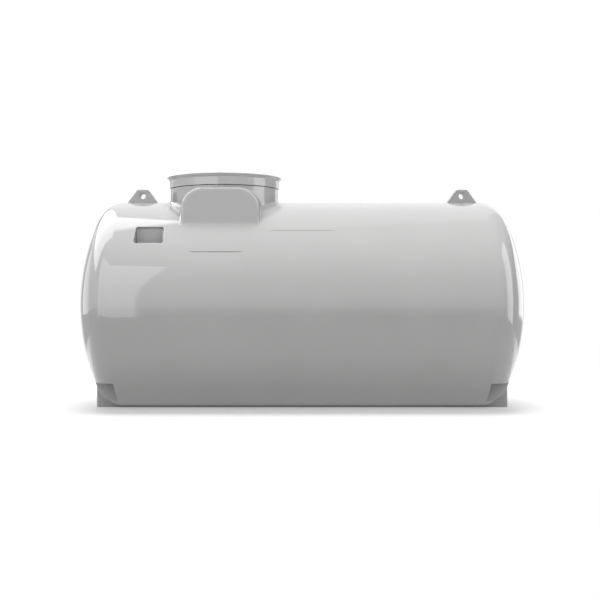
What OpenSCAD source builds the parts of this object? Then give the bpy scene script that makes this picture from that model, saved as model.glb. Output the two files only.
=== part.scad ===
// Horizontal water storage tank: a moulded plastic cylinder with dished ends,
// a manhole neck left of the middle, flat pipe pads beside the neck, two
// lifting ears, and a notched foot at each lower end.
//
// Units are millimetres. X runs along the tank, -Y is the front and +Z is up.
// The origin lies on the ground below the middle of the tank.

/* [Shell] */
// Outside diameter of the barrel
tank_d = 1250; // [1050:10:1500]
// Length of the straight barrel between the dished ends
barrel_l = 2160; // [1760:20:2600]
// Outside radius of the crown of a dished end
crown_r = 1220; // [1100:10:1800]
// Outside radius of the knuckle between crown and barrel
knuckle_r = 150; // [120:5:240]
// Thickness of the moulded wall
wall_t = 10; // [6:1:14]
// Height by which the underside is flattened
base_flat = 12; // [6:1:24]

/* [Manhole neck] */
// Distance of the neck from the left end of the straight barrel
neck_from_end = 603; // [520:1:700]
// Outside diameter of the neck
neck_d = 658; // [540:1:790]
// Thickness of the neck's wall
neck_wall = 14; // [8:1:20]
// Height of the neck's rim above the top of the barrel
neck_h = 80; // [70:1:140]
// Height of the seal ring that shows under the lid ring
seal_h = 4; // [3:1:8]
// Depth of the groove in front of the seal ring
seal_groove = 6; // [3:1:8]

/* [Lid] */
// How far the lid ring stands out beyond the neck
ring_step = 5; // [2:1:10]
// Height of the lid ring's upright skirt
skirt_h = 47; // [30:1:80]
// How far the brim stands out beyond the skirt
brim_out = 16; // [8:1:30]
// Height of the cone under the brim
brim_h = 16; // [8:1:30]
// Thickness of the brim's outer edge
brim_edge = 3; // [2:1:6]
// Width of the ledge that carries the lid
ledge_w = 15; // [8:1:24]
// Thickness of the lid
lid_t = 8; // [5:1:12]
// Rise of the lid's middle above its rim
lid_crown = 24; // [10:1:30]
// Running gap round the lid
lid_gap = 0.5; // [0.2:0.1:2]

/* [Pipe pads] */
// Width of a pad
pad_w = 454; // [360:1:520]
// Height of a pad's top edge above the top of the barrel
pad_rise = 58; // [40:1:64]
// Radius of a pad's upper corners
pad_corner = 127; // [60:1:160]
// Distance of a pad's flat face from the middle plane
pad_reach = 412; // [390:1:430]
// Thickness of a pad's walls
pad_wall = 12; // [8:1:16]

/* [Lifting ears] */
// Distance of an ear from its end of the straight barrel
ear_from_end = 105; // [98:1:200]
// Width of an ear where it leaves the barrel
ear_base_w = 182; // [150:1:220]
// Width of an ear's flat top, before rounding
ear_top_w = 66; // [60:1:90]
// Height of an ear above the top of the barrel
ear_h = 80; // [70:1:120]
// Thickness of an ear
ear_t = 90; // [30:1:110]
// Radius of an ear's upper corners
ear_corner = 16; // [6:1:24]
// Diameter of the shackle hole
ear_hole_d = 38; // [24:1:46]
// Height of the shackle hole above the top of the barrel
ear_hole_h = 41; // [34:1:50]

/* [Hand pockets] */
// Distance of the pocket from the left end of the straight barrel
pocket_from_end = 204; // [130:1:220]
// Width of the pocket's mouth
pocket_w = 183; // [120:1:200]
// Width that each side draws in towards the pocket's back
pocket_draft = 14; // [4:1:24]
// Depth of the pocket's roof below the top of the barrel
pocket_drop = 175; // [150:1:220]
// Height from the pocket's floor to its roof
pocket_h = 96; // [70:1:110]
// How far the pocket's upright back lies behind the barrel's surface at the roof
pocket_inset = 14; // [8:1:30]

/* [Label panels] */
// Distance of the panel below the neck from the left end of the straight barrel
neck_panel_from_end = 588; // [560:1:620]
// Width of the panel below the neck
neck_panel_w = 315; // [200:5:400]
// Depth of that panel's upper edge below the top of the barrel
neck_panel_drop = 319; // [300:1:340]
// Width of the panel at the middle of the tank
mid_panel_w = 390; // [200:10:500]
// Depth of that panel's upper edge below the top of the barrel
mid_panel_drop = 195; // [180:1:240]
// Height of both panels
panel_h = 90; // [60:1:110]
// Depth of the panel below the neck at its upper edge
neck_panel_depth = 3; // [1:0.5:4]
// Depth of the middle panel at its upper edge
mid_panel_depth = 1.5; // [1:0.5:4]

/* [Feet] */
// Height of the notches at the lower corners
notch_h = 160; // [120:1:200]
// Distance from the middle plane to a notch at its roof
notch_y_top = 252; // [240:1:300]
// Distance from the middle plane to a notch at the ground
notch_y_ground = 244; // [230:1:290]
// Width of a foot
foot_w = 300; // [240:1:340]
// How far a foot reaches beyond the straight barrel
foot_reach = 156; // [120:1:170]

/* [Hidden] */
tank_r = tank_d / 2;
half_l = barrel_l / 2;
neck_offset = half_l - neck_from_end;
neck_panel_x = neck_panel_from_end - half_l;
ear_offset = half_l - ear_from_end;
pocket_offset = half_l - pocket_from_end;
axis_h = tank_r - base_flat;
top_h = axis_h + tank_r;
neck_r = neck_d / 2;
bore_r = neck_r - neck_wall;
rim_h = top_h + neck_h;
ring_r = neck_r + ring_step;
ring_h = rim_h + seal_h;
ring_top = ring_h + skirt_h + brim_h + brim_edge;
brim_r = ring_r + brim_out;

// The knuckle's centre, and the crown's centre where both arcs share a tangent
knuckle_rho = tank_r - knuckle_r;
crown_back = sqrt((crown_r - knuckle_r) ^ 2 - knuckle_rho ^ 2);
crown_x = half_l - crown_back;

// Angles round the tank's axis: 0 is the bottom, 90 the rear, 180 the top
base_sweep = 50;
lower_sweep = 40;
middle_sweep = 40;
upper_sweep = 33.5;
top_sweep = 83;
knuckle_side_sweep = 80;
knuckle_end_sweep = 100;

// Half the length of the saddle, the stretch of barrel round the neck
saddle_half_l = neck_r + 24;
saddle_left = -neck_offset - saddle_half_l;
saddle_right = -neck_offset + saddle_half_l;

far = 4 * tank_d;
fine = 240;
round_fn = 96;
corner_fn = 48;
ear_corner_steps = 7;

shell_grey = [0.80, 0.80, 0.79];
ear_grey = [0.68, 0.68, 0.67];
lid_grey = [0.76, 0.76, 0.75];
seal_black = [0.13, 0.13, 0.14];

ENDS = ["left", "right"];
SIDES = ["front", "rear"];
KNUCKLE_PARTS = ["top", "front", "rear", "bottom"];

// +1 for the right or the rear, -1 for the left or the front
function sign_of(name) = name == "right" || name == "rear" ? 1 : -1;

// Mirrors what is drawn for the right and the rear to the named end and side
module at_end(end) {
    mirror([end == "left" ? 1 : 0, 0, 0]) children();
}

module at_side(side) {
    mirror([0, side == "front" ? 1 : 0, 0]) children();
}

// Turns +Z to the tank's axis, with flat +X pointing down and +Y to the rear
module along_axis(x = 0) {
    translate([x, 0, axis_h]) rotate([0, 90, 0]) children();
}

// A sector of a circle, for cutting segments out of rings
module wedge(centre, sweep) {
    polygon([
        [0, 0],
        for (part = [-0.5, 0, 0.5]) far * [cos(centre + part * sweep), sin(centre + part * sweep)]
    ]);
}

// A segment of the barrel's wall as seen along the axis
module wall_segment(centre, sweep) {
    intersection() {
        difference() {
            circle(r = tank_r, $fn = fine);
            circle(r = tank_r - wall_t, $fn = fine);
        }
        wedge(centre, sweep);
    }
}

module stave(centre, sweep, from_x, to_x) {
    along_axis(from_x) linear_extrude(to_x - from_x) wall_segment(centre, sweep);
}

// The part of a figure seen along the axis that is above a height
module above(height) {
    intersection() {
        children();
        translate([axis_h - height - far, -far / 2]) square(far);
    }
}

// The outline of a dished end, from its middle (x = 0) to the barrel (x = rho)
module end_profile(inset) {
    knuckle_tip = [knuckle_rho, crown_back] * far / crown_r;
    intersection() {
        union() {
            intersection() {
                translate([0, crown_x]) circle(r = crown_r - inset, $fn = 4 * fine);
                polygon([[0, crown_x], [0, crown_x + far], [0, crown_x] + knuckle_tip]);
            }
            translate([knuckle_rho, half_l]) circle(r = knuckle_r - inset, $fn = fine);
            translate([0, half_l]) square([knuckle_rho, knuckle_r / 2]);
        }
        translate([0, half_l]) square([far, far]);
    }
}

// The whole dished end and barrel as a solid, drawn in by a distance
module filled_tank(inset) {
    along_axis() {
        rotate_extrude($fn = fine) end_profile(inset);
        mirror([0, 0, 1]) rotate_extrude($fn = fine) end_profile(inset);
        translate([0, 0, -half_l]) cylinder(r = tank_r - inset, h = barrel_l, $fn = fine);
    }
}

// The barrel alone, long enough to trim what stands on it
module barrel_cut() {
    along_axis(-half_l) cylinder(r = tank_r, h = barrel_l, $fn = fine);
}

// --- Barrel -----------------------------------------------------------------

module barrel_base() {
    color(shell_grey) along_axis(-half_l) linear_extrude(barrel_l) above(0) {
        wall_segment(0, base_sweep);
        difference() {
            intersection() {
                circle(r = tank_r - wall_t / 2, $fn = fine);
                wedge(0, base_sweep);
            }
            above(wall_t) circle(r = tank_r, $fn = fine);
        }
    }
}

module barrel_lower(side) {
    centre = (base_sweep + lower_sweep) / 2;
    color(shell_grey) stave(sign_of(side) * centre, lower_sweep, -half_l, half_l);
}

module barrel_middle(side) {
    centre = base_sweep / 2 + lower_sweep + middle_sweep / 2;
    color(shell_grey) stave(sign_of(side) * centre, middle_sweep, -half_l, half_l);
}

module barrel_upper(side) {
    centre = 180 - (top_sweep + upper_sweep) / 2;
    color(shell_grey) difference() {
        stave(sign_of(side) * centre, upper_sweep, -half_l, half_l);
        shell_openings();
        if (side == "front") {
            panel_cut(neck_panel_x, neck_panel_w, neck_panel_drop, neck_panel_depth);
            panel_cut(0, mid_panel_w, mid_panel_drop, mid_panel_depth);
        }
    }
}

module barrel_top(end) {
    from_x = end == "left" ? -half_l : saddle_right;
    to_x = end == "left" ? saddle_left : half_l;
    color(shell_grey) difference() {
        stave(180, top_sweep, from_x, to_x);
        shell_openings();
    }
}

// A quarter of the barrel's top round the neck
module saddle(side, end) {
    from_x = end == "left" ? saddle_left : -neck_offset;
    to_x = end == "left" ? -neck_offset : saddle_right;
    centre = 180 - sign_of(side) * top_sweep / 4;
    color(shell_grey) difference() {
        stave(centre, top_sweep / 2, from_x, to_x);
        shell_openings();
    }
}

// What the upper shell is cut away for: the neck, the pads and the hand pockets
module shell_openings() {
    neck_axis(axis_h) cylinder(r = bore_r, h = tank_d, $fn = fine);
    pad_space(pad_wall);
    for (side = SIDES) at_side(side) pocket_space(wall_t);
}

// A shallow label panel: a step at its upper edge that fades out below
module panel_cut(middle_x, width, drop, depth) {
    top = tank_r - drop;
    step_angle = acos(top / tank_r);
    fade_angle = acos((top - panel_h) / tank_r);
    outside = tank_r * 1.05;
    ray = function(angle) [-cos(angle), -sin(angle)];
    along_axis(middle_x - width / 2) linear_extrude(width) polygon([
        (tank_r - depth) * ray(step_angle),
        tank_r * ray(fade_angle),
        outside * ray(fade_angle),
        outside * ray(step_angle)
    ]);
}

// --- Hand pockets -------------------------------------------------------------

// The hollow of the rear pocket, grown by a distance on its inner sides
module pocket_space(grow) {
    roof = tank_r - pocket_drop;
    mouth_y = tank_r;
    back_y = sqrt(tank_r ^ 2 - roof ^ 2) - pocket_inset - grow;
    mouth_half = pocket_w / 2 + grow;
    back_half = mouth_half - pocket_draft;
    translate([-pocket_offset, 0, axis_h + roof - pocket_h - grow])
        linear_extrude(pocket_h + 2 * grow)
            polygon([
                [-mouth_half, mouth_y],
                [-back_half, back_y],
                [back_half, back_y],
                [mouth_half, mouth_y]
            ]);
}

module hand_pocket(side) {
    color(shell_grey) at_side(side) difference() {
        intersection() {
            pocket_space(wall_t);
            barrel_cut();
        }
        pocket_space(0);
    }
}

// --- Dished ends --------------------------------------------------------------

module crown(end) {
    tangent = [knuckle_rho, crown_back] * far / crown_r;
    color(shell_grey) at_end(end) difference() {
        along_axis() rotate_extrude($fn = fine) intersection() {
            difference() {
                translate([0, crown_x]) circle(r = crown_r, $fn = 4 * fine);
                translate([0, crown_x]) circle(r = crown_r - wall_t, $fn = 4 * fine);
            }
            polygon([[0, crown_x], [0, crown_x + far], [0, crown_x] + tangent]);
        }
        for (side = SIDES) at_side(side) notch_space(wall_t);
    }
}

// The knuckle in section, between the crown and the barrel
module knuckle_section(thickness) {
    tangent = [knuckle_rho, crown_back] * far / crown_r;
    intersection() {
        translate([knuckle_rho, half_l]) difference() {
            circle(r = knuckle_r, $fn = fine);
            circle(r = knuckle_r - thickness, $fn = fine);
        }
        polygon([[knuckle_rho, half_l], [far, half_l], [far, far], [knuckle_rho, half_l] + tangent]);
    }
}

module knuckle_ring(centre, sweep, thickness = wall_t) {
    along_axis() rotate([0, 0, centre - sweep / 2])
        rotate_extrude(angle = sweep, $fn = fine) knuckle_section(thickness);
}

module knuckle(end, part) {
    color(shell_grey) at_end(end) {
        if (part == "top") knuckle_ring(180, knuckle_end_sweep);
        if (part == "rear") knuckle_ring(90, knuckle_side_sweep);
        if (part == "front") knuckle_ring(270, knuckle_side_sweep);
        if (part == "bottom") knuckle_bottom();
    }
}

// The lowest knuckle segment is flattened like the barrel and cut for the notches
module knuckle_bottom() {
    difference() {
        knuckle_ring(0, knuckle_end_sweep, wall_t + 2 * base_flat);
        intersection() {
            filled_tank(wall_t);
            translate([0, -far / 2, wall_t]) cube(far);
        }
        translate([0, -far / 2, -far]) cube(far);
        for (side = SIDES) at_side(side) notch_space(wall_t);
    }
}

// --- Notches and feet -----------------------------------------------------------

// The hollow of the right rear notch, grown by a distance towards the tank
module notch_space(grow) {
    run = notch_y_top - notch_y_ground;
    slope = run / notch_h;
    shift = grow * sqrt(1 + slope ^ 2);
    roof = notch_h + grow;
    side_y = function(height) notch_y_ground + slope * height - shift;
    translate([half_l + wall_t - grow, 0, 0]) rotate([90, 0, 90])
        linear_extrude(far)
            polygon([
                [side_y(-tank_r), -tank_r],
                [side_y(roof), roof],
                [far, roof],
                [far, -tank_r]
            ]);
}

module notch(end, side) {
    color(shell_grey) at_end(end) at_side(side) difference() {
        intersection() {
            filled_tank(0);
            notch_space(wall_t);
            translate([0, -far / 2, 0]) cube(far);
        }
        notch_space(0);
    }
}

// A hollow block under the dished end, flush with the ground
module foot(end) {
    inner_w = foot_w - 2 * wall_t;
    reach = foot_reach - wall_t;
    color(shell_grey) at_end(end) difference() {
        translate([half_l + wall_t, -foot_w / 2, 0]) cube([reach, foot_w, notch_h]);
        translate([half_l, -inner_w / 2, wall_t]) cube([reach, inner_w, notch_h]);
        filled_tank(0);
    }
}

// --- Neck, pads and lid ---------------------------------------------------------

module neck_axis(height) {
    translate([-neck_offset, 0, height]) children();
}

// The outline of a pad with rounded upper corners, drawn in by a distance
module pad_outline(inset) {
    half_w = pad_w / 2 - inset;
    top = top_h + pad_rise - inset;
    corner = pad_corner - inset;
    translate([-half_w, axis_h]) square([2 * half_w, top - corner - axis_h]);
    translate([corner - half_w, axis_h]) square([2 * (half_w - corner), top - axis_h]);
    for (x = [corner - half_w, half_w - corner])
        translate([x, top - corner]) circle(r = corner, $fn = round_fn);
}

// The block of both pads, drawn in by a distance
module pad_space(inset) {
    reach = pad_reach - inset;
    neck_axis(0) translate([0, reach, 0]) rotate([90, 0, 0])
        linear_extrude(2 * reach) pad_outline(inset);
}

// A pad's flat face with the arched wall behind it, closed against the neck
module pipe_pad(side) {
    color(shell_grey) difference() {
        pad_space(0);
        pad_space(pad_wall);
        neck_axis(0) cylinder(r = neck_r, h = 2 * tank_d, $fn = fine);
        barrel_cut();
        at_side(side) translate([-far / 2, -far, -far / 2]) cube(far);
    }
}

module neck() {
    color(shell_grey) difference() {
        neck_axis(axis_h) cylinder(r = neck_r, h = rim_h - axis_h, $fn = fine);
        neck_axis(0) cylinder(r = bore_r, h = 2 * tank_d, $fn = fine);
        barrel_cut();
        pad_space(pad_wall);
    }
}

module seal_ring() {
    color(seal_black) neck_axis(rim_h) difference() {
        cylinder(r = neck_r - seal_groove, h = seal_h, $fn = fine);
        translate([0, 0, -seal_h]) cylinder(r = bore_r, h = 3 * seal_h, $fn = fine);
    }
}

// The ring that clamps the lid: an upright skirt under a flared brim
module lid_ring() {
    height = ring_top - ring_h;
    color(lid_grey) neck_axis(ring_h) rotate_extrude($fn = fine) polygon([
        [bore_r, 0],
        [ring_r, 0],
        [ring_r, skirt_h],
        [brim_r, height - brim_edge],
        [brim_r, height],
        [bore_r, height],
        [bore_r, height - lid_t],
        [bore_r - ledge_w, height - lid_t],
        [bore_r - ledge_w, height - 2 * lid_t],
        [bore_r, height - 2 * lid_t]
    ]);
}

// A crowned disc that rests on the ring's ledge
module lid() {
    lid_r = bore_r - lid_gap;
    dome_r = bore_r - ledge_w;
    sphere_r = (dome_r ^ 2 + lid_crown ^ 2) / (2 * lid_crown);
    color(lid_grey) neck_axis(ring_top - lid_t) rotate_extrude($fn = fine) {
        translate([dome_r, 0]) square([lid_r - dome_r, lid_t]);
        intersection() {
            translate([0, lid_crown - sphere_r]) difference() {
                translate([0, lid_t]) circle(r = sphere_r, $fn = 4 * fine);
                circle(r = sphere_r, $fn = 4 * fine);
            }
            square([dome_r, lid_crown + 2 * lid_t]);
        }
    }
}

// --- Lifting ears -----------------------------------------------------------------

// A tapered block with round upper corners and a shackle hole
module lifting_ear(end) {
    slope = atan2(ear_h, (ear_base_w - ear_top_w) / 2);
    corner_x = ear_top_w / 2 - ear_corner * tan(slope / 2);
    corner_z = ear_h - ear_corner;
    foot_half = ear_base_w / 2;
    corner = [
        for (turn = [slope : -slope / ear_corner_steps : -0.001])
            [corner_x + ear_corner * sin(turn), corner_z + ear_corner * cos(turn)]
    ];
    color(ear_grey) difference() {
        translate([sign_of(end) * ear_offset, ear_t / 2, top_h]) rotate([90, 0, 0])
            linear_extrude(ear_t) difference() {
                polygon([
                    [-foot_half, -wall_t],
                    [foot_half, -wall_t],
                    [foot_half, 0],
                    for (point = corner) point,
                    for (step = [len(corner) - 1 : -1 : 0]) [-corner[step][0], corner[step][1]],
                    [-foot_half, 0]
                ]);
                translate([0, ear_hole_h]) circle(d = ear_hole_d, $fn = corner_fn);
            }
        barrel_cut();
    }
}

barrel_base();
for (side = SIDES) {
    barrel_lower(side);
    barrel_middle(side);
    barrel_upper(side);
    hand_pocket(side);
    pipe_pad(side);
    for (end = ENDS) {
        saddle(side, end);
        notch(end, side);
    }
}
for (end = ENDS) {
    barrel_top(end);
    crown(end);
    foot(end);
    lifting_ear(end);
    for (part = KNUCKLE_PARTS)
        knuckle(end, part);
}
neck();
seal_ring();
lid_ring();
lid();
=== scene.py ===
"""Looks of the water storage tank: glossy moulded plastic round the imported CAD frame.

The moulded body is one solid, described by how far a point lies outside it. Its skin is
meshed in five stretches along the tank, each a closed shell of the real wall thickness.
Metres, in the frame of the row: X along the tank, -Y the front, +Z up.
"""

import cmath
import itertools
import math

import bpy
import numpy as np
from mathutils import Matrix, Vector


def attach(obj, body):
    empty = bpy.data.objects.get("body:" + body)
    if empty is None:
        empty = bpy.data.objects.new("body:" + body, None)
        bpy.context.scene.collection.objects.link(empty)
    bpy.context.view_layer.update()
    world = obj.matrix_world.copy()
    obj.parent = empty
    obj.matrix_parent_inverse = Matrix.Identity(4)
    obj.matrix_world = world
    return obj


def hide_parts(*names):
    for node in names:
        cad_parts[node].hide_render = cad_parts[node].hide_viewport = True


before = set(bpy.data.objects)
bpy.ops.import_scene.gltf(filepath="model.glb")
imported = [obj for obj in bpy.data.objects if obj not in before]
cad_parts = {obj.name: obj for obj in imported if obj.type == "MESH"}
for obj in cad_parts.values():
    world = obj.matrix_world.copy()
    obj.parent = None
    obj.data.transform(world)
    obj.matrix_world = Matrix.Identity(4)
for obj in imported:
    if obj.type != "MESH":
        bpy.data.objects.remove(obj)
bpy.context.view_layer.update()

# Sizes of the CAD, in metres
TANK_R = 0.625
HALF_L = 1.080
CROWN_R = 1.220
KNUCKLE_R = 0.150
WALL = 0.010
AXIS_Z = 0.613
TOP_Z = AXIS_Z + TANK_R
KNUCKLE_RHO = TANK_R - KNUCKLE_R
CROWN_BACK = math.sqrt((CROWN_R - KNUCKLE_R) ** 2 - KNUCKLE_RHO ** 2)
CROWN_X = HALF_L - CROWN_BACK
NECK_X = -0.477
NECK_R = 0.329
NECK_FILLET = 0.018
RIM_Z = 1.318
SADDLE_Z = 1.0  # below this the neck and the pads are left to the barrel
PAD_HALF = 0.227
PAD_TOP = 1.296
PAD_CORNER = 0.127
PAD_Y = 0.412
PAD_ROUNDING = 0.014
PAD_FILLET = 0.010
POCKET_X = -0.876
POCKET_HALF = 0.0915
POCKET_BACK_HALF = 0.0775
POCKET_BACK_Y = 0.4197
POCKET_Z = (0.967, 1.063)
POCKET_BACK_ROUNDING = 0.008
POCKET_ROUNDING = 0.012
POCKET_LIP = 0.004
EAR_X = 0.975
EAR_Y = 0.045
EAR_H = 0.080
NOTCH_X = 1.090
NOTCH_Z = 0.160
NOTCH_Y = (0.244, 0.252)
NOTCH_ROUNDING = 0.008
NOTCH_LIP = 0.006
FOOT_X = 1.236
FOOT_Y = 0.150
FOOT_TOP = 0.2  # inside the barrel
FOOT_ROUNDING = 0.010
FOOT_FILLET = 0.008
BASE_ROUNDING = 0.002
# The label panels: middle along the tank, width, height of the top edge, depth there
PANELS = ((-0.492, 0.315, 0.919, 0.003), (0.0, 0.390, 1.043, 0.0015))
PANEL_H = 0.090
PANEL_FADE = 0.05
PANEL_BACK_Y = -0.3  # the panels lie in front of this


# --- How far a point lies outside a solid ----------------------------------------


def joined(a, b, r):
    """Both solids, with a fillet of radius r where they meet."""
    inward = np.hypot(np.maximum(r - a, 0), np.maximum(r - b, 0))
    return np.maximum(r, np.minimum(a, b)) - inward


def common(a, b, r):
    """What both solids share, with its edges rounded to radius r."""
    outward = np.hypot(np.maximum(r + a, 0), np.maximum(r + b, 0))
    return np.minimum(-r, np.maximum(a, b)) + outward


def without(a, b, r):
    """The first solid with the second cut away, and the edges of the cut rounded."""
    return common(a, -b, r)


def leaning(a, b, r, cosine):
    """Like common, for two planes whose normals have that cosine between them."""
    a, b = a + r, b + r
    edge = np.sqrt(np.maximum(a * a + b * b - 2 * a * b * cosine, 0) / (1 - cosine ** 2))
    return np.where((a > b * cosine) & (b > a * cosine), edge, np.maximum(a, b)) - r


def filled_tank(x, y, z):
    """The barrel with its dished ends, solid."""
    u = np.abs(x)
    rho = np.hypot(y, z - AXIS_Z)
    crown = np.hypot(rho, u - CROWN_X) - CROWN_R
    knuckle = np.hypot(rho - KNUCKLE_RHO, u - HALF_L) - KNUCKLE_R
    on_crown = (u - CROWN_X) * KNUCKLE_RHO > rho * CROWN_BACK
    return np.where(on_crown, crown, np.where(u > HALF_L, knuckle, rho - TANK_R))


def pad_outline(x, z):
    """How far outside the front outline of a pipe pad."""
    across = np.abs(x - NECK_X) - (PAD_HALF - PAD_CORNER)
    up = z - (PAD_TOP - PAD_CORNER)
    corner = np.hypot(np.maximum(across, 0), np.maximum(up, 0))
    return corner + np.minimum(np.maximum(across, up), 0) - PAD_CORNER


def panel(x, y, z, middle, width, top, deepest):
    """What is cut away outside a label panel: deepest at its top, nothing at its foot and sides."""
    step = math.acos((top - AXIS_Z) / TANK_R)
    rho = np.hypot(y, z - AXIS_Z)
    run = np.clip((top - z) / PANEL_H, 0, 1)
    beside = np.clip((width / 2 - np.abs(x - middle)) / PANEL_FADE, 0, 1)
    depth = deepest * (1 - run) ** 2 * beside * (2 - beside)
    above = (z - AXIS_Z) * math.sin(step) + y * math.cos(step)
    return np.maximum(np.maximum(TANK_R - depth - rho, above), y - PANEL_BACK_Y)


def moulding(x, y, z):
    """The whole moulded body, solid."""
    side = np.abs(y)
    end = np.abs(x)
    # The neck and the pads grow out of the barrel
    neck = np.maximum(np.hypot(x - NECK_X, y) - NECK_R, SADDLE_Z - z)
    pads = common(pad_outline(x, z), side - PAD_Y, PAD_ROUNDING)
    pads = np.maximum(pads, SADDLE_Z - z)
    d = joined(filled_tank(x, y, z), pads, PAD_FILLET)
    d = joined(d, neck, NECK_FILLET)
    # Hand pockets
    slope = (POCKET_HALF - POCKET_BACK_HALF) / (TANK_R - POCKET_BACK_Y)
    sides = np.abs(x - POCKET_X) - POCKET_BACK_HALF - slope * (side - POCKET_BACK_Y)
    hollow = common(sides / math.hypot(1, slope), POCKET_BACK_Y - side, POCKET_BACK_ROUNDING)
    middle_z = (POCKET_Z[0] + POCKET_Z[1]) / 2
    half_z = (POCKET_Z[1] - POCKET_Z[0]) / 2
    hollow = common(hollow, np.abs(z - middle_z) - half_z, POCKET_ROUNDING)
    d = without(d, hollow, POCKET_LIP)
    # Corner notches and the feet between them
    lean = (NOTCH_Y[1] - NOTCH_Y[0]) / NOTCH_Z
    wall = (NOTCH_Y[0] + lean * z - side) / math.hypot(1, lean)
    notch = common(NOTCH_X - end, wall, NOTCH_ROUNDING)
    notch = common(notch, z - NOTCH_Z, NOTCH_ROUNDING)
    d = without(d, notch, NOTCH_LIP)
    foot = common(end - FOOT_X, side - FOOT_Y, FOOT_ROUNDING)
    d = joined(d, np.maximum(foot, z - FOOT_TOP), FOOT_FILLET)
    for place in PANELS:
        d = np.maximum(d, -panel(x, y, z, *place))
    return common(d, -z, BASE_ROUNDING)


def ear_block(x, y, z):
    """One ear, standing at x = 0."""
    half, top_half, height, corner = 0.091, 0.033, EAR_H, 0.016
    sunk, edges = 0.012, 0.005
    hole_up, hole_r, hole_lip = 0.041, 0.019, 0.003
    slope = math.atan2(height, half - top_half)
    u = np.abs(x)
    up = z - TOP_Z
    side = (u - half) * math.sin(slope) + up * math.cos(slope)
    d = leaning(side, up - height, corner, math.cos(slope))
    d = common(d, np.abs(y) - EAR_Y, edges)
    d = np.maximum(d, -sunk - up)
    hole = np.hypot(x, up - hole_up) - hole_r
    return without(d, hole, hole_lip)


# --- Meshing -----------------------------------------------------------------------

SEAM_HALF = 0.004  # half a cell at a seam
SEAM_REACH = 0.0041  # points this near to a seam are put on it
SAMPLES = 4001
GROWTH = 0.45  # of the spacing, with the distance from a spot
NUDGE = 1e-5
LEAST_SLOPE = 0.2  # squared, so that a step can't run away
INNER_STEPS = 5
ARC_STEP = 0.2


def planes(low, high, coarse, spots, seams=(False, False)):
    """Grid planes from low to high, closer together near spots (place, half width, spacing)."""
    t = np.linspace(low, high, SAMPLES)
    spacing = np.full_like(t, coarse)
    for place, half, fine in spots:
        beyond = np.maximum(np.abs(t - place) - half, 0)
        spacing = np.minimum(spacing, fine + GROWTH * beyond)
    cells = np.diff(t) * (1 / spacing[1:] + 1 / spacing[:-1]) / 2
    count = np.concatenate([[0], np.cumsum(cells)])
    steps = max(2, math.ceil(count[-1]))
    out = np.interp(np.linspace(0, count[-1], steps + 1), count, t)
    # A seam lies in the middle of the outermost cell
    if seams[0]:
        out = np.concatenate([[low - SEAM_HALF, low + SEAM_HALF], out[1:]])
    if seams[1]:
        out = np.concatenate([out[:-1], [high - SEAM_HALF, high + SEAM_HALF]])
    return out


def gradient(field, p):
    """How steeply the field rises along each axis, at each point."""
    g = np.empty_like(p)
    for n in range(3):
        step = np.zeros(3)
        step[n] = NUDGE
        g[:, n] = (field(*(p + step).T) - field(*(p - step).T)) / (2 * NUDGE)
    return g


def moved_to(field, p, level, rounds, free=1):
    """The points moved along the gradient, where they are free, until the field has that level."""
    for _ in range(rounds):
        g = gradient(field, p) * free
        size = np.maximum((g ** 2).sum(1), LEAST_SLOPE)
        p = p - ((field(*p.T) - level) / size)[:, None] * g
    return p


def skin(field, axes):
    """Points and quads of the surface where the field is 0: one point in each cell it crosses."""
    shape = [len(a) for a in axes]
    values = np.empty(shape)
    across, up = np.meshgrid(axes[1], axes[2], indexing="ij")
    for i, x in enumerate(axes[0]):
        values[i] = field(np.full_like(across, x), across, up)
    solid = values < 0
    corners = np.zeros([n - 1 for n in shape], np.int8)
    for shift in itertools.product((0, 1), repeat=3):
        corners += solid[tuple(slice(s, n - 1 + s) for s, n in zip(shift, shape))]
    crossed = (corners > 0) & (corners < 8)
    index = np.full(crossed.shape, -1)
    index[crossed] = np.arange(crossed.sum())
    total = np.zeros((crossed.sum(), 3))
    number = np.zeros(len(total))
    quads = []
    for n in range(3):
        n1, n2 = (n + 1) % 3, (n + 2) % 3
        low = tuple(slice(None, -1) if m == n else slice(None) for m in range(3))
        high = tuple(slice(1, None) if m == n else slice(None) for m in range(3))
        at = np.argwhere(solid[low] != solid[high])
        for m in (n1, n2):
            at = at[(at[:, m] > 0) & (at[:, m] < shape[m] - 1)]
        near = values[tuple(at.T)]
        ahead = at.copy()
        ahead[:, n] += 1
        share = near / (near - values[tuple(ahead.T)])
        p = np.stack([axes[m][at[:, m]] for m in range(3)], 1)
        p[:, n] += share * (axes[n][ahead[:, n]] - axes[n][at[:, n]])
        ring = []
        for o1, o2 in ((0, 0), (1, 0), (1, 1), (0, 1)):
            cell = at.copy()
            cell[:, n1] -= o1
            cell[:, n2] -= o2
            ring.append(index[tuple(cell.T)])
        quad = np.stack(ring, 1)
        for column in range(4):
            np.add.at(total, quad[:, column], p)
            np.add.at(number, quad[:, column], 1)
        quad[near > 0] = quad[near > 0][:, ::-1]
        quads.append(quad)
    quads = np.concatenate(quads)
    used = np.unique(quads)
    place = np.zeros(len(total), int)
    place[used] = np.arange(len(used))
    return total[used] / number[used][:, None], place[quads]


def facing(points, quads, normals):
    """The quads, turned so that they face the way their points do."""
    a, b, c, d = (points[quads[:, k]] for k in range(4))
    turned = (np.cross(c - a, d - b) * normals[quads].sum(1)).sum(1) < 0
    return np.where(turned[:, None], quads[:, ::-1], quads)


def rim_edges(quads):
    """Directed edges that belong to one quad only."""
    a = quads.ravel()
    b = np.roll(quads, -1, axis=1).ravel()
    low, high = np.minimum(a, b), np.maximum(a, b)
    keys = low * (a.max() + 1) + high
    _, first, count = np.unique(keys, return_index=True, return_counts=True)
    single = first[count == 1]
    return a[single], b[single]


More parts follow.
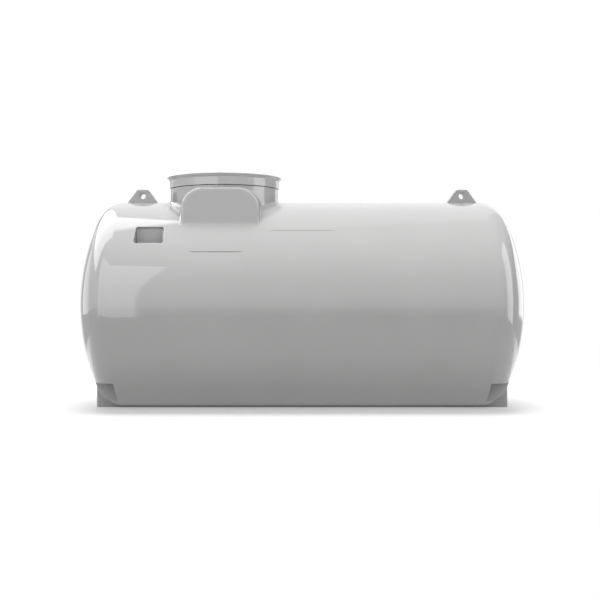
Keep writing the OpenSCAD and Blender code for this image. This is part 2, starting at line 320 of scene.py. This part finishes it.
def add_mesh(name, points, faces, corner_normals, material, body="root"):
    """A piece of the model, from arrays of points and normals and a list of faces."""
    mesh = bpy.data.meshes.new(name)
    mesh.from_pydata(points.tolist(), [], faces)
    mesh.polygons.foreach_set("use_smooth", np.ones(len(mesh.polygons), bool))
    mesh.normals_split_custom_set(corner_normals.tolist())
    mesh.materials.append(material)
    piece = bpy.data.objects.new(name, mesh)
    bpy.context.scene.collection.objects.link(piece)
    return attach(piece, body)


def shell_piece(name, material, axes, snaps):
    """A stretch of the moulding as a closed shell. Its open rims lie in the planes (axis, place)."""
    outer, quads = skin(moulding, axes)
    free = np.ones_like(outer)
    for axis, place in snaps:
        near = np.abs(outer[:, axis] - place) < SEAM_REACH
        outer[near, axis] = place
        free[near, axis] = 0
    outer = moved_to(moulding, outer, 0, 8, free)
    inner = outer
    for part in range(1, INNER_STEPS + 1):
        inner = moved_to(moulding, inner, -WALL * part / INNER_STEPS, 2, free)
    normals = gradient(moulding, outer)
    normals /= np.linalg.norm(normals, axis=1)[:, None]
    quads = facing(outer, quads, normals)
    a, b = rim_edges(quads)
    count = len(outer)
    rims = np.stack([b, a, a + count, b + count], 1)
    points = np.concatenate([outer, inner])
    faces = np.concatenate([quads, quads[:, ::-1] + count, rims])
    p, q, r = (points[rims[:, k]] for k in (0, 1, 2))
    rim_normals = np.cross(q - p, r - p)
    rim_normals /= np.maximum(np.linalg.norm(rim_normals, axis=1), 1e-12)[:, None]
    corner_normals = np.concatenate([
        normals[quads].reshape(-1, 3),
        -normals[quads[:, ::-1]].reshape(-1, 3),
        np.repeat(rim_normals, 4, axis=0),
    ])
    return add_mesh(name, points, faces.tolist(), corner_normals, material)


def rounded(corners):
    """A closed outline with its corners rounded: points and their normals, as complex r + z i.

    The corners (r, z, rounding) go round counterclockwise.
    """
    places = [complex(r, z) for r, z, _ in corners]
    points, normals = [], []
    for k, (here, (_, _, radius)) in enumerate(zip(places, corners)):
        come = here - places[k - 1]
        go = places[(k + 1) % len(places)] - here
        turn = cmath.phase(go / come)
        come /= abs(come)
        outward = come * -1j
        bulge = math.copysign(radius, turn)
        centre = here - come * radius * math.tan(abs(turn) / 2) - bulge * outward
        steps = max(2, math.ceil(abs(turn) / ARC_STEP)) if radius else 0
        for step in range(steps + 1):
            share = step / steps if steps else 0.5
            normal = outward * cmath.exp(1j * turn * share)
            points.append(centre + bulge * normal)
            normals.append(normal)
    return points, normals


def lathe(name, material, corners, segments=240):
    """A solid of revolution round the neck's axis, from its outline on one side."""
    outline, out = rounded(corners)
    count = len(outline)
    on_axis = [place.real < 1e-9 for place in outline]
    points, normals, rows = [], [], []
    for place, normal, pole in zip(outline, out, on_axis):
        rows.append([len(points) + (0 if pole else k) for k in range(segments)])
        for k in range(1 if pole else segments):
            angle = 2 * math.pi * k / segments
            c, s = math.cos(angle), math.sin(angle)
            points.append((NECK_X + place.real * c, place.real * s, place.imag))
            up = (0, 0, math.copysign(1, normal.imag))
            normals.append(up if pole else (normal.real * c, normal.real * s, normal.imag))
    faces = []
    for k in range(count):
        a, b = rows[k], rows[(k + 1) % count]
        if on_axis[k] and on_axis[(k + 1) % count]:
            continue
        for s in range(segments):
            t = (s + 1) % segments
            face = [a[s], a[t], b[t], b[s]]
            faces.append([v for n, v in enumerate(face) if v not in face[:n]])
    normals = np.array(normals)
    corner_normals = np.concatenate([normals[f] for f in faces])
    return add_mesh(name, np.array(points), faces, corner_normals, material)


# --- Materials -----------------------------------------------------------------------


def plastic(name, colour, roughness, mottle, grain, painted_shade):
    """Moulded plastic: a faint mottle of colour and gloss, a fine orange peel, and painted shade
    in the recesses: ambient occlusion darkens the base colour there by up to the given share.
    """
    material = bpy.data.materials.new(name)
    material.use_nodes = True
    nodes, links = material.node_tree.nodes, material.node_tree.links
    shader = nodes["Principled BSDF"]
    shader.inputs["IOR"].default_value = 1.5
    where = nodes.new("ShaderNodeTexCoord")
    cloud = nodes.new("ShaderNodeTexNoise")
    cloud.inputs["Scale"].default_value = 2.6
    cloud.inputs["Detail"].default_value = 5
    links.new(where.outputs["Object"], cloud.inputs["Vector"])
    tint = nodes.new("ShaderNodeValToRGB")
    tint.color_ramp.elements[0].position = 0.3
    tint.color_ramp.elements[1].position = 0.7
    for stop, gain in zip(tint.color_ramp.elements, (1 - mottle, 1 + mottle)):
        stop.color = (*[c * gain for c in colour], 1)
    links.new(cloud.outputs["Fac"], tint.inputs["Fac"])
    # Painted shade: an ambient occlusion node darkens the base colour in recesses and corners, by up
    # to the share given in the last argument
    recess = nodes.new("ShaderNodeAmbientOcclusion")
    recess.samples = 8
    recess.only_local = True
    recess.inputs["Distance"].default_value = 0.10
    shade_ramp = nodes.new("ShaderNodeMapRange")
    shade_ramp.inputs["From Min"].default_value = 0.35
    shade_ramp.inputs["From Max"].default_value = 0.95
    shade_ramp.inputs["To Min"].default_value = 1 - painted_shade
    shade_ramp.inputs["To Max"].default_value = 1.0
    links.new(recess.outputs["AO"], shade_ramp.inputs["Value"])
    shaded_tint = nodes.new("ShaderNodeVectorMath")
    shaded_tint.operation = "SCALE"
    links.new(tint.outputs["Color"], shaded_tint.inputs[0])
    links.new(shade_ramp.outputs["Result"], shaded_tint.inputs["Scale"])
    links.new(shaded_tint.outputs["Vector"], shader.inputs["Base Color"])
    gloss = nodes.new("ShaderNodeMapRange")
    gloss.inputs["From Min"].default_value = 0.3
    gloss.inputs["From Max"].default_value = 0.7
    gloss.inputs["To Min"].default_value = roughness * 0.85
    gloss.inputs["To Max"].default_value = roughness * 1.15
    streaks = nodes.new("ShaderNodeTexNoise")
    streaks.inputs["Scale"].default_value = 14
    streaks.inputs["Detail"].default_value = 3
    links.new(where.outputs["Object"], streaks.inputs["Vector"])
    links.new(streaks.outputs["Fac"], gloss.inputs["Value"])
    links.new(gloss.outputs["Result"], shader.inputs["Roughness"])
    peel = nodes.new("ShaderNodeTexNoise")
    peel.inputs["Scale"].default_value = 160
    peel.inputs["Detail"].default_value = 2
    links.new(where.outputs["Object"], peel.inputs["Vector"])
    bump = nodes.new("ShaderNodeBump")
    bump.inputs["Strength"].default_value = grain
    bump.inputs["Distance"].default_value = 0.0005
    links.new(peel.outputs["Fac"], bump.inputs["Height"])
    links.new(bump.outputs["Normal"], shader.inputs["Normal"])
    return material


# The last argument of each is the share of painted shade: ambient occlusion darkens the base colour
# in recesses and corners by up to that share
shell_plastic = plastic(
    "shell_plastic", (0.50, 0.50, 0.497), roughness=0.035, mottle=0.02, grain=0.02, painted_shade=0.5)
# The lid's grey is a little lighter than the shell's: painted light, to brighten the collar in the
# shade under the brim
lid_plastic = plastic(
    "lid_plastic", (0.53, 0.53, 0.527), roughness=0.06, mottle=0.02, grain=0.02, painted_shade=0.0)
# The ears' darker grey is painted shade: they are the same plastic as the shell, made darker to
# stand in for the light falling less on them
ear_plastic = plastic(
    "ear_plastic", (0.34, 0.34, 0.337), roughness=0.22, mottle=0.03, grain=0.12, painted_shade=0.8)
rubber = plastic(
    "seal_rubber", (0.05, 0.05, 0.055), roughness=0.5, mottle=0.15, grain=0.4, painted_shade=0.0)

# --- Pieces ---------------------------------------------------------------------------

SEAMS = (-0.986, NECK_X, -0.100, 0.800)

# The grid: its ends, its usual spacing, and spots as (place, half width, spacing)
GRID_X = 1.36
GRID_Y = 0.64
GRID_LOW_Z = -0.012
GRID_HIGH_Z = 1.26
COARSE = 0.014
EDGE_Z = [(0.0, 0.006, 0.004), (NOTCH_Z, 0.008, 0.004), (0.045, 0.02, 0.006)]
EDGE_Y = [(s * FOOT_Y, 0.008, 0.004) for s in (-1, 1)]
EDGE_Y += [(s * sum(NOTCH_Y) / 2, 0.012, 0.004) for s in (-1, 1)]
POCKET_EDGES_X = [(POCKET_X + s * POCKET_HALF, 0.010, 0.0035) for s in (-1, 1)]
POCKET_EDGES_Z = [(z, 0.010, 0.0035) for z in POCKET_Z]
PAD_EDGES_X = [(NECK_X + s * PAD_HALF, 0.012, 0.0045) for s in (-1, 1)]
PAD_EDGES_Y = [(s * PAD_Y, 0.012, 0.0040) for s in (-1, 1)]
PAD_EDGE_Z = (PAD_TOP, 0.012, 0.0045)
PANEL_EDGES_X = [
    (middle + s * (width - PANEL_FADE) / 2, 0.030, 0.008)
    for middle, width, _, _ in PANELS for s in (-1, 1)
]
PANEL_EDGES_Z = [(top - 0.0005, 0.002, 0.0005) for _, _, top, _ in PANELS]
END_X = [(s * x, 0.008, 0.004) for s in (-1, 1) for x in (NOTCH_X, FOOT_X)]

end_left = shell_piece("shell_left_end", shell_plastic, [
    planes(-GRID_X, SEAMS[0], COARSE, END_X, (False, True)),
    planes(-GRID_Y, GRID_Y, COARSE, EDGE_Y),
    planes(GRID_LOW_Z, GRID_HIGH_Z, COARSE, EDGE_Z),
], [(0, SEAMS[0])])
shoulder_left = shell_piece("shell_pocket_side", shell_plastic, [
    planes(
        SEAMS[0], SEAMS[1], COARSE, PAD_EDGES_X + POCKET_EDGES_X + PANEL_EDGES_X[:2],
        (True, True),
    ),
    planes(-GRID_Y, GRID_Y, COARSE, PAD_EDGES_Y),
    planes(
        GRID_LOW_Z, RIM_Z, COARSE, [PAD_EDGE_Z, PANEL_EDGES_Z[0]] + POCKET_EDGES_Z,
        (False, True),
    ),
], [(0, SEAMS[0]), (0, SEAMS[1]), (2, RIM_Z)])
shoulder_right = shell_piece("shell_neck_side", shell_plastic, [
    planes(SEAMS[1], SEAMS[2], 0.012, PAD_EDGES_X + PANEL_EDGES_X, (True, True)),
    planes(-GRID_Y, GRID_Y, COARSE, PAD_EDGES_Y),
    planes(GRID_LOW_Z, RIM_Z, COARSE, [PAD_EDGE_Z] + PANEL_EDGES_Z, (False, True)),
], [(0, SEAMS[1]), (0, SEAMS[2]), (2, RIM_Z)])
barrel = shell_piece("shell_barrel", shell_plastic, [
    planes(SEAMS[2], SEAMS[3], 0.04, PANEL_EDGES_X, (True, True)),
    planes(-GRID_Y, GRID_Y, 0.013, []),
    planes(GRID_LOW_Z, GRID_HIGH_Z, 0.013, [PANEL_EDGES_Z[1]]),
], [(0, SEAMS[2]), (0, SEAMS[3])])
end_right = shell_piece("shell_right_end", shell_plastic, [
    planes(SEAMS[3], GRID_X, COARSE, END_X, (True, False)),
    planes(-GRID_Y, GRID_Y, COARSE, EDGE_Y),
    planes(GRID_LOW_Z, GRID_HIGH_Z, COARSE, EDGE_Z),
], [(0, SEAMS[3])])

# Outlines of the round pieces: (radius, height, rounding of that corner)
RING = [
    (0.3150, 1.3220, 0.001), (0.3340, 1.3220, 0.002), (0.3340, 1.3690, 0.004),
    (0.3500, 1.3850, 0.0014), (0.3500, 1.3880, 0.0014), (0.3150, 1.3880, 0.001),
    (0.3150, 1.3800, 0.0005), (0.3000, 1.3800, 0.001), (0.3000, 1.3720, 0.001),
    (0.3150, 1.3720, 0.001),
]
lid_ring = lathe("clamp_ring", lid_plastic, RING)
seal = lathe("seal", rubber, [
    (0.3150, 1.3180, 0.0006), (0.3230, 1.3180, 0.0012),
    (0.3230, 1.3220, 0.0012), (0.3150, 1.3220, 0.0006),
])

LID_R = 0.300
LID_CROWN = 0.024
DOME_R = 0.298  # the last dome point, short of the corner
LID_SPHERE = (LID_R ** 2 + LID_CROWN ** 2) / (2 * LID_CROWN)


def dome(base, steps=16):
    """Points over the lid's crown, from the middle out."""
    out = []
    for k in range(steps + 1):
        r = DOME_R * k / steps
        out.append((r, base + LID_CROWN - LID_SPHERE + math.sqrt(LID_SPHERE ** 2 - r ** 2), 0))
    return out


lid = lathe("lid_cover", lid_plastic, (
    dome(1.3805)
    + [(0.3000, 1.3800, 0), (0.3145, 1.3800, 0.0010), (0.3145, 1.3880, 0.0015)]
    + dome(1.3880)[::-1]
))

for end, sign in (("left", -1), ("right", 1)):
    points, quads = skin(ear_block, [
        planes(-0.100, 0.100, 0.0035, []),
        planes(-0.052, 0.052, 0.006, [(s * EAR_Y, 0.005, 0.002) for s in (-1, 1)]),
        planes(TOP_Z - 0.018, TOP_Z + 0.086, 0.0035, []),
    ])
    points = moved_to(ear_block, points, 0, 8)
    normals = gradient(ear_block, points)
    normals /= np.linalg.norm(normals, axis=1)[:, None]
    quads = facing(points, quads, normals)
    points[:, 0] += sign * EAR_X
    corner_normals = normals[quads].reshape(-1, 3)
    add_mesh(f"ear_{end}", points, quads.tolist(), corner_normals, ear_plastic)

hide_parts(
    "crown_left", "knuckle_left_top", "knuckle_left_front", "knuckle_left_rear",
    "knuckle_left_bottom", "notch_left_front", "notch_left_rear", "foot_left",
)
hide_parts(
    "barrel_top_left", "saddle_front_left", "saddle_rear_left",
    "hand_pocket_front", "hand_pocket_rear",
)
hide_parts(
    "saddle_front_right", "saddle_rear_right", "pipe_pad_front",
    "pipe_pad_rear", "neck",
)
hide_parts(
    "barrel_base", "barrel_lower_front", "barrel_lower_rear", "barrel_middle_front",
    "barrel_middle_rear", "barrel_upper_front", "barrel_upper_rear", "barrel_top_right",
)
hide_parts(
    "crown_right", "knuckle_right_top", "knuckle_right_front", "knuckle_right_rear",
    "knuckle_right_bottom", "notch_right_front", "notch_right_rear", "foot_right",
)
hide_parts("lid_ring")
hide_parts("seal_ring")
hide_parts("lid")
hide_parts("lifting_ear_left")
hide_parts("lifting_ear_right")

# --- Floor, light and camera --------------------------------------------------------------

scene = bpy.context.scene
scene.view_settings.view_transform = "Standard"

FLOOR_X, FLOOR_Y = 3.7, 2.9
floor_mesh = bpy.data.meshes.new("floor")
floor_mesh.from_pydata([
    (-FLOOR_X, -FLOOR_Y, 0), (FLOOR_X, -FLOOR_Y, 0),
    (FLOOR_X, FLOOR_Y, 0), (-FLOOR_X, FLOOR_Y, 0),
], [], [(0, 1, 2, 3)])
floor = bpy.data.objects.new("floor", floor_mesh)
floor.location.z = -0.0006  # clear of the tank's base
scene.collection.objects.link(floor)
floor_material = bpy.data.materials.new("floor")
floor_material.use_nodes = True
nodes, links = floor_material.node_tree.nodes, floor_material.node_tree.links
nodes.remove(nodes["Principled BSDF"])


def seen_ray(nodes, links):
    """1 for rays that show what they hit: from the camera, mirrored or let through."""
    rays = nodes.new("ShaderNodeLightPath")
    last = rays.outputs["Is Camera Ray"]
    for kind in ("Is Glossy Ray", "Is Transmission Ray"):
        either = nodes.new("ShaderNodeMath")
        either.operation = "MAXIMUM"
        links.new(last, either.inputs[0])
        links.new(rays.outputs[kind], either.inputs[1])
        last = either.outputs["Value"]
    return last


def floor_shader(colour, strength, sheltered=False):
    """A matt surface that also glows a little, so that its shadows stay light.

    A sheltered one doesn't glow close under the tank.
    """
    matt = nodes.new("ShaderNodeBsdfDiffuse")
    matt.inputs["Color"].default_value = (colour, colour, colour, 1)
    glow = nodes.new("ShaderNodeEmission")
    glow.inputs["Strength"].default_value = strength
    if sheltered:
        shelter = nodes.new("ShaderNodeAmbientOcclusion")
        shelter.samples = 8
        shelter.inputs["Distance"].default_value = 0.03
        links.new(shelter.outputs["Color"], glow.inputs["Color"])
    total = nodes.new("ShaderNodeAddShader")
    links.new(matt.outputs["BSDF"], total.inputs[0])
    links.new(glow.outputs["Emission"], total.inputs[1])
    return total.outputs["Shader"]


choice = nodes.new("ShaderNodeMixShader")
links.new(seen_ray(nodes, links), choice.inputs["Fac"])
links.new(floor_shader(0.22, 0.32, sheltered=True), choice.inputs[1])
links.new(floor_shader(0.70, 0.30), choice.inputs[2])
links.new(choice.outputs["Shader"], nodes["Material Output"].inputs["Surface"])
floor_mesh.materials.append(floor_material)

world = bpy.data.worlds.new("studio")
scene.world = world
world.use_nodes = True
nodes, links = world.node_tree.nodes, world.node_tree.links
toward = nodes.new("ShaderNodeTexCoord").outputs["Generated"]


def edge(axis, start, end):
    """0 to 1 while the share of a ray's direction along that axis goes from start to end."""
    along = nodes.new("ShaderNodeVectorMath")
    along.operation = "DOT_PRODUCT"
    along.inputs[1].default_value = axis
    links.new(toward, along.inputs[0])
    ramp = nodes.new("ShaderNodeMapRange")
    ramp.interpolation_type = "SMOOTHSTEP"
    ramp.inputs["From Min"].default_value = start
    ramp.inputs["From Max"].default_value = end
    links.new(along.outputs["Value"], ramp.inputs["Value"])
    return ramp.outputs["Result"]


def combined(operation, a, b):
    node = nodes.new("ShaderNodeMath")
    node.operation = operation
    for socket, value in zip(node.inputs, (a, b)):
        if isinstance(value, float):
            socket.default_value = value
        else:
            links.new(value, socket)
    return node.outputs["Value"]


# The studio that shows in the gloss: strengths, and the edges that bound each part of it.
# It is white where the camera looks, brighter in front, with a large panel up on the left.
FORWARD = ((0, -1, 0), -0.9, 0.3)
BACKWARD = ((0, 1, 0), -0.3, 0.9)
ABOVE = ((0, 0, 1), 0.27, 0.42)
PANEL_FRONT = ((-0.05, 1, 0.16), -0.01, 0.02)
PANEL_RIGHT = ((-4.4, 1, -0.68), 0.0, 0.13)
PANEL_BOTTOM = ((0, 0, 1), 0.35, 0.39)
PANEL_BACK = ((-2.2, -1, 0.08), 0.0, 0.05)
STUDIO = (
    (0.55, BACKWARD),
    (0.20, BACKWARD, ABOVE),
    (0.45, ABOVE, ((-1.73, 1, 0), 0.0, 0.08), ((1.73, 1, 0), 0.0, 0.08)),
    (1.30, ((-1.235, 1, 0), 0.0, 0.08), ((1, 0, 0), 0.0, 0.1), ((0, 0, 1), -0.045, -0.025),
     ((0, 0, -1), -0.42, -0.27)),
    (0.10, BACKWARD, ((0, 0, 1), 0.6, 1.0)),
    (1.00, FORWARD),
    (1.75, FORWARD, ((0, -1, 0), -0.9, 0.9), ((0, 0, 1), -0.26, 0.12)),
    (4.60, PANEL_FRONT, PANEL_RIGHT, PANEL_BOTTOM, PANEL_BACK),
)
strength = 0.0
for gain, *edges in STUDIO:
    for bound in edges:
        gain = combined("MULTIPLY", edge(*bound), gain)
    strength = combined("ADD", gain, strength)
white = edge((0, 1, 0), 0.90, 0.93)
elsewhere = combined("SUBTRACT", 1.0, white)
strength = combined("ADD", combined("MULTIPLY", strength, elsewhere), white)
studio = nodes["Background"]
studio.inputs["Color"].default_value = (1, 1, 1, 1)
links.new(strength, studio.inputs["Strength"])
ROOM_LIGHT = 0.60
room = nodes.new("ShaderNodeBackground")
room.inputs["Color"].default_value = (1, 1, 1, 1)
room.inputs["Strength"].default_value = ROOM_LIGHT
choice = nodes.new("ShaderNodeMixShader")
links.new(seen_ray(nodes, links), choice.inputs["Fac"])
links.new(room.outputs["Background"], choice.inputs[1])
links.new(studio.outputs["Background"], choice.inputs[2])
links.new(choice.outputs["Shader"], nodes["World Output"].inputs["Surface"])


LAMP_DISTANCE = 14


def softbox(name, start, azimuth, elevation, left, right, below, above, radiance, soft=False):
    """A rectangular light seen from start. Azimuth 0 is in front and 90 on the left.

    The other sizes are its edges, as shares of its distance. A soft one lights surfaces
    without being mirrored in them; any other one is only mirrored.
    """
    a, e = math.radians(azimuth), math.radians(elevation)
    way = Vector((-math.sin(a) * math.cos(e), -math.cos(a) * math.cos(e), math.sin(e)))
    across = Vector((math.cos(a), -math.sin(a), 0))
    up = way.cross(across)
    data = bpy.data.lights.new(name, "AREA")
    data.shape = "RECTANGLE"
    data.size = (left + right) * LAMP_DISTANCE
    data.size_y = (below + above) * LAMP_DISTANCE
    data.energy = 4 * radiance * data.size * data.size_y
    lamp = bpy.data.objects.new(name, data)
    middle = way + across * (right - left) / 2 + up * (above - below) / 2
    lamp.location = Vector(start) + middle * LAMP_DISTANCE
    lamp.rotation_mode = "QUATERNION"
    lamp.rotation_quaternion = Matrix((across, up, way)).transposed().to_quaternion()
    lamp.visible_glossy = not soft
    lamp.visible_diffuse = soft
    scene.collection.objects.link(lamp)
    return lamp


LEFT_END = (-1.0, -0.55, 0.75)
RIGHT_END = (1.15, -0.55, 0.70)
softbox("key", (0, 0, 0.6), azimuth=90, elevation=89,
        left=0.30, right=0.30, below=0.32, above=0.32, radiance=5.7, soft=True)
softbox("front_left", LEFT_END, azimuth=35.75, elevation=0,
        left=0.52, right=0.52, below=0.27, above=1.02, radiance=1.75)
softbox("left", LEFT_END, azimuth=108, elevation=0,
        left=0.90, right=0.90, below=0.05, above=0.40, radiance=0.65)
softbox("front_right", RIGHT_END, azimuth=-83, elevation=0,
        left=0.30, right=0.30, below=0.20, above=1.08, radiance=2.7)

camera_data = bpy.data.cameras.new("camera")
camera_data.sensor_width = 36
camera_data.lens = 66
camera = bpy.data.objects.new("camera", camera_data)
camera.location = (-0.013, -6.765, AXIS_Z + 0.031)
camera.rotation_euler = (math.radians(90), 0, 0)
scene.collection.objects.link(camera)
scene.camera = camera
